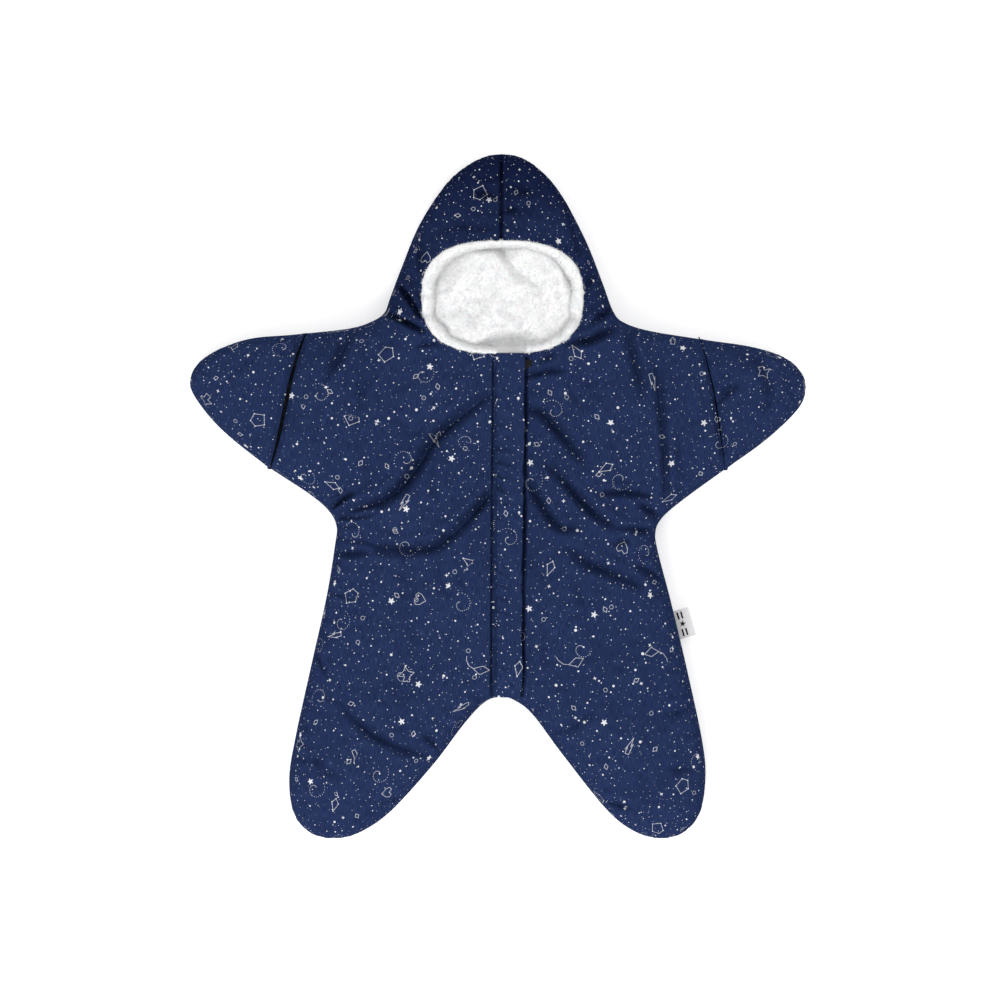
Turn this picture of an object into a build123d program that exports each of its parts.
from build123d import *
import math
import os

# Baby sleeping bag, star shaped, laid flat on its back. Millimetres.
# +Z is the front of the bag, +Y points to the tip of the hood, and the origin is
# the centre of the underside. "left" is the -X side, as seen from the front.

# ---------------------------------------------------------------- driving dimensions
OUTER = 2.0             # printed cotton shell with its scrim
WADDING = 9.0           # quilt filling
LINING = 4.0            # plush lining
PANEL = OUTER + WADDING + LINING
FRONT_Z = 66.0          # top of the filled front
SEAM_Z = 18.0           # height of the side seam that joins front and back
UNDER_INSET = 10.0      # how far the underside pulls in from the side seam
UNDER_SHRINK = 0.5      # further inset of the underside, per mm of depth into the panel
CROWN_INSET = 16.0      # how far the filled crown of the front stays in from the seam
CROWN_SHRINK = 0.4      # the same for the crown of the front

ZIP_X = 4.0             # the zip runs a little off centre
ZIP_Z = FRONT_Z - OUTER - 0.5
NECK_Y = 178.0          # neck seam between the hood and the front
HOOD_SEAM_X = 2.0
FACE = {"y": 196.5, "half_x": 80.5, "half_y": 56.5, "power": 2.6, "sides": 32}

LAPEL_TOP_Y = NECK_Y    # the fold line starts inside the rim of the face opening
LAPEL_BOTTOM_Y = -180.0
FOLD_TOP = 78.5         # fold line's distance from the zip at its top
FOLD_BOTTOM = 48.0      # and at its bottom
FOLD_AXIS_Z = ZIP_Z - 0.5
FOLD_GAP = 0.3          # half of the clearance along the fold line
FOLD_GROOVE_DEG = 57.5  # half angle of the groove that lets the fold turn 110 degrees

SHELL_SETBACK = 7.0     # shell fabric ends this far from the zip's centre
FILL_SETBACK = 12.5     # wadding and lining end this far from it

CHAIN_TOP_Y = 125.0
CHAIN_BOTTOM_Y = -164.0
TOOTH = {"inner": 0.7, "outer": 3.0, "height": 1.8, "length": 1.5, "pitch": 3.0}
TAPE_THICK = 0.8
TAPE_HALF = 12.0
TAPE_NOTCH = 5.6        # the tape keeps clear of the parked slider by this half width
SLIDER_Y = 130.5
SLIDER = {"half_x": 4.9, "length": 9.0, "height": 4.2, "channel": 3.35, "channel_z": 2.4, "slot_z": 1.4}
PULL_AXIS_Z = ZIP_Z + 3.6
PULL_BAR_R = 0.6
PULL_EYE_R = 1.4
PULL_LENGTH = 29.0
PULL_WIDTH = 8.0
PULL_THICK = 1.0

PLACKET_X0 = -3.0       # sewn edge
PLACKET_X1 = 25.0       # free edge
PLACKET_LIFT = 2.8      # it lies over the slider
PLACKET_THICK = 2.2
PLACKET_TOP_Y = 138.0
PLACKET_BOTTOM_Y = -190.0
PLACKET_BASE = 6.0

# The line across each sleeve where its closed end begins: a slit in the front.
SLIT_INNER = (197.0, 157.0)
SLIT_OUTER = (225.0, 32.0)
SLIT_GAP = 2.0

LABEL = {"y": -128.0, "out": 13.0, "width": 29.0, "thick": 1.2, "tilt": 12.3}

# Half of the outline, from the tip of the hood to the crotch.
HALF_OUTLINE = [
    (0, 342), (39, 327), (65, 297), (95, 237), (110, 195), (118, 179), (140, 169),
    (183, 161), (243, 155), (286, 141), (305, 122), (306, 102), (284, 73), (243, 38),
    (183, -4), (162, -30), (162, -55), (176, -120), (193, -198), (208, -275),
    (203, -318), (180, -340), (150, -340), (112, -318), (62, -260), (25, -214), (0, -200),
]
BIG = 1000.0


# ---------------------------------------------------------------- envelopes
def ring(height, inset):
    """The outline's corners, clockwise from above, with every side moved inwards."""
    outline = HALF_OUTLINE + [(-x, y) for x, y in HALF_OUTLINE[-2:0:-1]]
    moved = []
    for i, (x, y) in enumerate(outline):
        before, after = outline[i - 1], outline[(i + 1) % len(outline)]
        arriving = Vector(x - before[0], y - before[1]).normalized()
        leaving = Vector(after[0] - x, after[1] - y).normalized()
        normals = Vector(-arriving.Y - leaving.Y, arriving.X + leaving.X)
        moved.append(Vector(x, y, height) - normals * (inset / (1 + arriving.dot(leaving))))
    return moved


def polygon(points):
    return Face(Wire.make_polygon(points, close=True))


def envelope(depth):
    """The closed space that lies a given depth inside the bag's outer surface."""
    rings = [
        ring(depth, UNDER_INSET + UNDER_SHRINK * depth),
        ring(SEAM_Z, depth),
        ring(FRONT_Z - depth, CROWN_INSET + CROWN_SHRINK * depth),
    ]
    faces = [polygon(rings[0]), polygon(rings[-1])]
    for lower, upper in zip(rings, rings[1:]):
        for i in range(len(lower)):
            faces.append(polygon([lower[i - 1], lower[i], upper[i], upper[i - 1]]))
    return Solid(Shell(faces))


def prism(points, low=-BIG, high=BIG):
    """An upright prism over a polygon."""
    face = polygon([Vector(x, y, low) for x, y in points])
    return Solid.extrude(face, Vector(0, 0, high - low))


def block(x0, x1, y0, y1, z0, z1):
    centre = ((x0 + x1) / 2, (y0 + y1) / 2, (z0 + z1) / 2)
    return Pos(*centre) * Box(x1 - x0, y1 - y0, z1 - z0)


# ---------------------------------------------------------------- regions of the bag
def face_opening():
    """The face opening is a superellipse cut through the front."""
    points = []
    for step in range(FACE["sides"]):
        angle = 2 * math.pi * step / FACE["sides"]
        c, s = math.cos(angle), math.sin(angle)
        x = ZIP_X + FACE["half_x"] * math.copysign(abs(c) ** (2 / FACE["power"]), c)
        y = FACE["y"] + FACE["half_y"] * math.copysign(abs(s) ** (2 / FACE["power"]), s)
        points.append((x, y))
    return prism(points, SEAM_Z)


def lapel_region(side, gap):
    """The part of the front between the zip and one fold line; side is -1 or 1."""
    corners = [
        (ZIP_X, LAPEL_BOTTOM_Y + gap),
        (ZIP_X + side * (FOLD_BOTTOM - gap), LAPEL_BOTTOM_Y + gap),
        (ZIP_X + side * (FOLD_TOP - gap), LAPEL_TOP_Y),
        (ZIP_X, LAPEL_TOP_Y),
    ]
    return prism(corners, SEAM_Z)


def fold_groove(side):
    """A groove over the fold line, open at the top, that the folding front turns in."""
    depth = FRONT_Z - FOLD_AXIS_Z + 1
    half = depth * math.tan(math.radians(FOLD_GROOVE_DEG))
    reach = (FOLD_TOP - FOLD_BOTTOM) / (LAPEL_TOP_Y - LAPEL_BOTTOM_Y)
    ends = []
    for y in (LAPEL_BOTTOM_Y - 4, LAPEL_TOP_Y + 8):
        x = ZIP_X + side * (FOLD_BOTTOM + reach * (y - LAPEL_BOTTOM_Y))
        section = [(x, FOLD_AXIS_Z), (x + half, FOLD_AXIS_Z + depth), (x - half, FOLD_AXIS_Z + depth)]
        ends.append(Wire.make_polygon([Vector(px, y, pz) for px, pz in section], close=True))
    return Solid.make_loft(ends, ruled=True)


def sleeve_end_region(side, back_off):
    """Everything beyond the slit line of one sleeve, moved outwards by back_off."""
    (x0, y0), (x1, y1) = SLIT_INNER, SLIT_OUTER
    lean = (x1 - x0) / (y1 - y0)
    corners = []
    for y in (-60.0, 220.0):
        corners.append((x0 + lean * (y - y0) + back_off, y))
    corners += [(BIG, 220.0), (BIG, -60.0)]
    return prism([(side * x, y) for x, y in corners])


ABOVE_SEAM = block(-BIG, BIG, -BIG, BIG, SEAM_Z, BIG)
BELOW_SEAM = block(-BIG, BIG, -BIG, BIG, -BIG, SEAM_Z)
HOOD_REGION = block(-BIG, BIG, NECK_Y, BIG, SEAM_Z, BIG)
LEFT_OF_ZIP = block(-BIG, ZIP_X, -BIG, BIG, -BIG, BIG)
RIGHT_OF_ZIP = block(ZIP_X, BIG, -BIG, BIG, -BIG, BIG)
HALF_SIDES = {-1: LEFT_OF_ZIP, 1: RIGHT_OF_ZIP}
SIDE_NAMES = {-1: "left", 1: "right"}


def zip_slot(half_width):
    return block(
        ZIP_X - half_width, ZIP_X + half_width, LAPEL_BOTTOM_Y, LAPEL_TOP_Y, SEAM_Z, BIG
    )


# ---------------------------------------------------------------- padded layers
def layer_pieces(name, layer, setback, grooved):
    """Cuts one layer of the bag into its back, front, hood, lapels and sleeve ends."""
    pieces = {}
    opening = face_opening()
    front = (layer & ABOVE_SEAM) - opening
    back = layer & BELOW_SEAM
    for side in (-1, 1):
        word = SIDE_NAMES[side]
        pieces[f"{word}_sleeve_end_{name}"] = layer & sleeve_end_region(side, SLIT_GAP / 2)
        back -= sleeve_end_region(side, SLIT_GAP / 2)
        panel = (front & HALF_SIDES[side]) - HOOD_REGION
        panel -= sleeve_end_region(side, -SLIT_GAP / 2)
        panel -= lapel_region(side, -FOLD_GAP)
        lapel = (front & lapel_region(side, FOLD_GAP)) - zip_slot(setback)
        if grooved:
            panel -= fold_groove(side)
            lapel -= fold_groove(side)
        pieces[f"front_{word}_{name}"] = panel
        pieces[f"{word}_lapel_{name}"] = lapel
    pieces[f"back_{name}"] = back
    pieces[f"hood_{name}"] = front & HOOD_REGION
    return pieces


def padded_layers():
    depths = [0.0, OUTER, OUTER + WADDING, PANEL]
    shells = [envelope(depth) for depth in depths]
    pieces = {}
    pieces.update(layer_pieces("shell", shells[0] - shells[1], SHELL_SETBACK, True))
    pieces.update(layer_pieces("wadding", shells[1] - shells[2], FILL_SETBACK, True))
    pieces.update(layer_pieces("lining", shells[2] - shells[3], FILL_SETBACK, False))
    hood = pieces.pop("hood_shell")
    pieces["hood_left_shell"] = hood & block(-BIG, HOOD_SEAM_X, -BIG, BIG, 0, BIG)
    pieces["hood_right_shell"] = hood & block(HOOD_SEAM_X, BIG, -BIG, BIG, 0, BIG)
    return pieces


# ---------------------------------------------------------------- zip
def beside_zip(side, near, far, y0, y1, z0, z1):
    """A block on one side of the zip's centre, from near to far."""
    x0, x1 = sorted((ZIP_X + side * near, ZIP_X + side * far))
    return block(x0, x1, y0, y1, z0, z1)


def zip_tape(side):
    low, high = ZIP_Z - TAPE_THICK / 2, ZIP_Z + TAPE_THICK / 2
    tape_top = PLACKET_TOP_Y
    tape_bottom = LAPEL_BOTTOM_Y + 1
    stop_y = SLIDER_Y + SLIDER["length"] / 2 + 0.8
    tape = beside_zip(side, TAPE_NOTCH, TAPE_HALF, tape_bottom, tape_top, low, high)
    tape += beside_zip(side, TOOTH["outer"], TAPE_NOTCH, CHAIN_BOTTOM_Y, CHAIN_TOP_Y, low, high)
    tape += beside_zip(side, TOOTH["outer"], TAPE_NOTCH, stop_y, tape_top, low, high)
    return tape


def zip_teeth(side):
    low, high = ZIP_Z - TOOTH["height"] / 2, ZIP_Z + TOOTH["height"] / 2
    count = int((CHAIN_TOP_Y - CHAIN_BOTTOM_Y) / TOOTH["pitch"])
    offset = 0 if side < 0 else TOOTH["pitch"] / 2
    teeth = []
    for i in range(count):
        y = CHAIN_BOTTOM_Y + offset + i * TOOTH["pitch"]
        teeth.append(beside_zip(side, TOOTH["inner"], TOOTH["outer"], y, y + TOOTH["length"], low, high))
    return Compound(children=teeth)


def top_stop(side):
    stop_y = SLIDER_Y + SLIDER["length"] / 2 + 0.8
    return beside_zip(side, TOOTH["inner"], TOOTH["outer"], stop_y, stop_y + 2.2, ZIP_Z - 1.1, ZIP_Z + 1.1)


def bottom_stop():
    y = LAPEL_BOTTOM_Y - 5
    return block(ZIP_X - 4, ZIP_X + 4, y, y + 3, FRONT_Z, FRONT_Z + 1.4)


def zip_slider():
    half, length = SLIDER["half_x"], SLIDER["length"]
    body = Box(2 * half, length, SLIDER["height"])
    body = fillet(body.edges().filter_by(Axis.Z), 2.0)
    body -= Box(2 * SLIDER["channel"], length, SLIDER["channel_z"])
    body -= Box(2 * half, length, SLIDER["slot_z"])
    body += Pos(0, length / 2 - 2, 0) * Box(0.8, 3, SLIDER["height"])
    bar_z = PULL_AXIS_Z - ZIP_Z
    for y in (-3.2, 3.2):
        foot = SLIDER["height"] / 2
        body += Pos(0, y, (foot + bar_z) / 2) * Box(1.6, 1.2, bar_z - foot)
    body += Pos(0, 0, bar_z) * Rot(90, 0, 0) * Cylinder(PULL_BAR_R, 7.6)
    return Pos(ZIP_X, SLIDER_Y, ZIP_Z) * body


def zip_pull():
    """A flat tab on an eye that turns on the slider's bar; it lies out to the side."""
    eye = Rot(90, 0, 0) * Cylinder(PULL_EYE_R, 4.6)
    start = PULL_EYE_R * 0.7
    neck = Pos((start + 6) / 2, 0, 0) * Box(6 - start, 4.6, PULL_THICK)
    tab = Pos((4 + PULL_LENGTH) / 2, 0, 0) * Box(PULL_LENGTH - 4, PULL_WIDTH, PULL_THICK)
    tab = fillet(tab.edges().filter_by(Axis.Z), 2.5)
    pull = eye + neck + tab
    pull -= Rot(90, 0, 0) * Cylinder(PULL_BAR_R + 0.2, 4.6)
    return Pos(ZIP_X, SLIDER_Y, PULL_AXIS_Z) * pull


# ---------------------------------------------------------------- placket and label
def placket():
    low = FRONT_Z + PLACKET_LIFT
    return block(PLACKET_X0, PLACKET_X1, PLACKET_BOTTOM_Y, PLACKET_TOP_Y, low, low + PLACKET_THICK)


def placket_seam():
    high = FRONT_Z + PLACKET_LIFT + PLACKET_THICK
    x1 = PLACKET_X0 - 0.3
    return block(x1 - PLACKET_BASE, x1, LAPEL_BOTTOM_Y + 4, PLACKET_TOP_Y, FRONT_Z, high)


def side_label(body):
    """A folded tag sewn into the side seam, cut to meet the seam exactly."""
    seam_x = 178.0
    tag = Box(2 * LABEL["out"], LABEL["width"], LABEL["thick"])
    place = Pos(seam_x, LABEL["y"], SEAM_Z + LABEL["thick"] / 2) * Rot(0, 0, LABEL["tilt"])
    return (place * tag) - body


# ---------------------------------------------------------------- the whole bag
def build():
    pieces = padded_layers()
    for side in (-1, 1):
        word = SIDE_NAMES[side]
        pieces[f"zip_tape_{word}"] = zip_tape(side)
        pieces[f"zip_teeth_{word}"] = zip_teeth(side)
        pieces[f"zip_top_stop_{word}"] = top_stop(side)
    pieces["zip_bottom_stop"] = bottom_stop()
    pieces["zip_slider"] = zip_slider()
    pieces["zip_pull_tab"] = zip_pull()
    pieces["placket"] = placket()
    pieces["placket_seam"] = placket_seam()
    pieces["side_label"] = side_label(envelope(0.0))
    return pieces


os.makedirs("parts", exist_ok=True)
for node, shape in build().items():
    export_step(shape, os.path.join("parts", f"{node}.step"))
